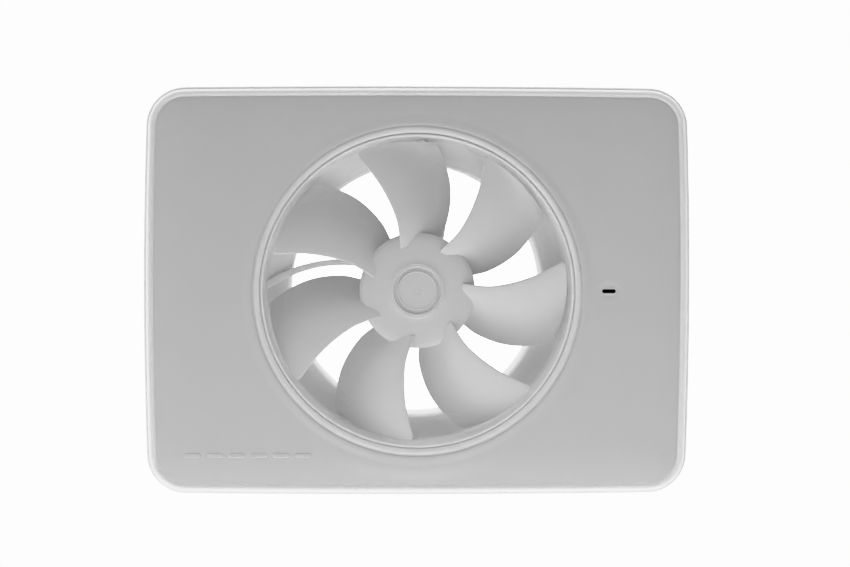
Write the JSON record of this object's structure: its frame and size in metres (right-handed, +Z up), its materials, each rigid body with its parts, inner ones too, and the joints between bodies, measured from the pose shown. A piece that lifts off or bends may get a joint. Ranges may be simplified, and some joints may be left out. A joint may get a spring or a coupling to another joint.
{
  "type": "wall-mounted axial extract fan",
  "caption": "Shallow white rectangular wall fan with an open curved-blade impeller, raised inlet ring, pull-off front cover and round duct spigot behind.",
  "frame": {"origin": "on the fan axis, in the plane of the wall that the casing's back lies against", "axes": "+X to the right seen from the front and along the long side of the casing, +Y into the wall along the fan axis, +Z up"},
  "size_m": [0.209, 0.054, 0.1564],
  "materials": {
    "white_plastic": "fine matt moulded, self-coloured",
    "rotor_plastic": "satin moulded",
    "grey_plastic": "matt moulded",
    "dark_plastic": "matt",
    "green_plastic": "satin moulded",
    "yellow_plastic": "potted film-capacitor box",
    "board": "solder-resist lacquer on glass-fibre board",
    "foam": "closed-cell foam",
    "rubber": "soft matt",
    "cable_jacket": "soft PVC sleeve",
    "steel": "bright zinc-plated",
    "core_steel": "stacked laminations",
    "copper": "enamelled copper wire",
    "brass": "turned",
    "ferrite": "sintered ferrite, dull",
    "aluminium": "drawn can",
    "glass": "clear tube"
  },
  "bodies": {
    "housing": {"back_case": "white_plastic", "fan_duct": "white_plastic", "wall_gasket": "foam", "spigot_seal": "rubber", "cable_grommet": "rubber", "cable_clamp": "grey_plastic", "bearing_tube": "brass", "front_bearing": "steel", "rear_bearing": "steel", "stator_core": "core_steel", "motor_pcb": "board", "motor_driver": "dark_plastic", "motor_lead": "cable_jacket", "main_pcb": "board", "terminal_block": "green_plastic", "mains_fuse": "glass", "emc_choke": "copper", "x2_capacitor": "yellow_plastic", "bridge_rectifier": "dark_plastic", "bulk_capacitor": "aluminium", "transformer": "ferrite", "supply_controller": "dark_plastic", "electronics_lid": "grey_plastic", "output_capacitor": "aluminium", "microcontroller": "dark_plastic", "mode_jumper": "dark_plastic", "sensor_header": "dark_plastic", "sensor_pcb": "board", "humidity_sensor": "steel", "motor_connector": "grey_plastic", "lid_screw": "steel", "duct_screw_1": "steel", "duct_screw_2": "steel", "duct_screw_3": "steel", "clamp_screw_1": "steel", "clamp_screw_2": "steel", "motor_screw_1": "steel", "motor_screw_2": "steel", "motor_screw_3": "steel", "pcb_screw_1": "steel", "pcb_screw_2": "steel", "pcb_screw_3": "steel", "pcb_screw_4": "steel", "terminal_screw_1": "steel", "terminal_screw_2": "steel", "terminal_screw_3": "steel", "stator_coil_1": "copper", "stator_coil_2": "copper", "stator_coil_3": "copper", "stator_coil_4": "copper", "stator_coil_5": "copper", "stator_coil_6": "copper"},
    "rotor": {"impeller": "rotor_plastic", "rotor_cup": "steel", "magnet_ring": "ferrite", "motor_shaft": "steel", "shaft_clip": "steel"},
    "cover": {"front_cover": "white_plastic", "sensor_filter": "dark_plastic"}
  },
  "joints": [
    {"name": "rotor_spin", "type": "hinge", "parent": "housing", "child": "rotor", "pos_m": [0, -0.012, 0], "axis": [0, 1, 0], "continuous": true},
    {"name": "cover_pull_off", "type": "slide", "parent": "housing", "child": "cover", "axis": [0, -1, 0], "range_m": [0, 0.06]}
  ]
}
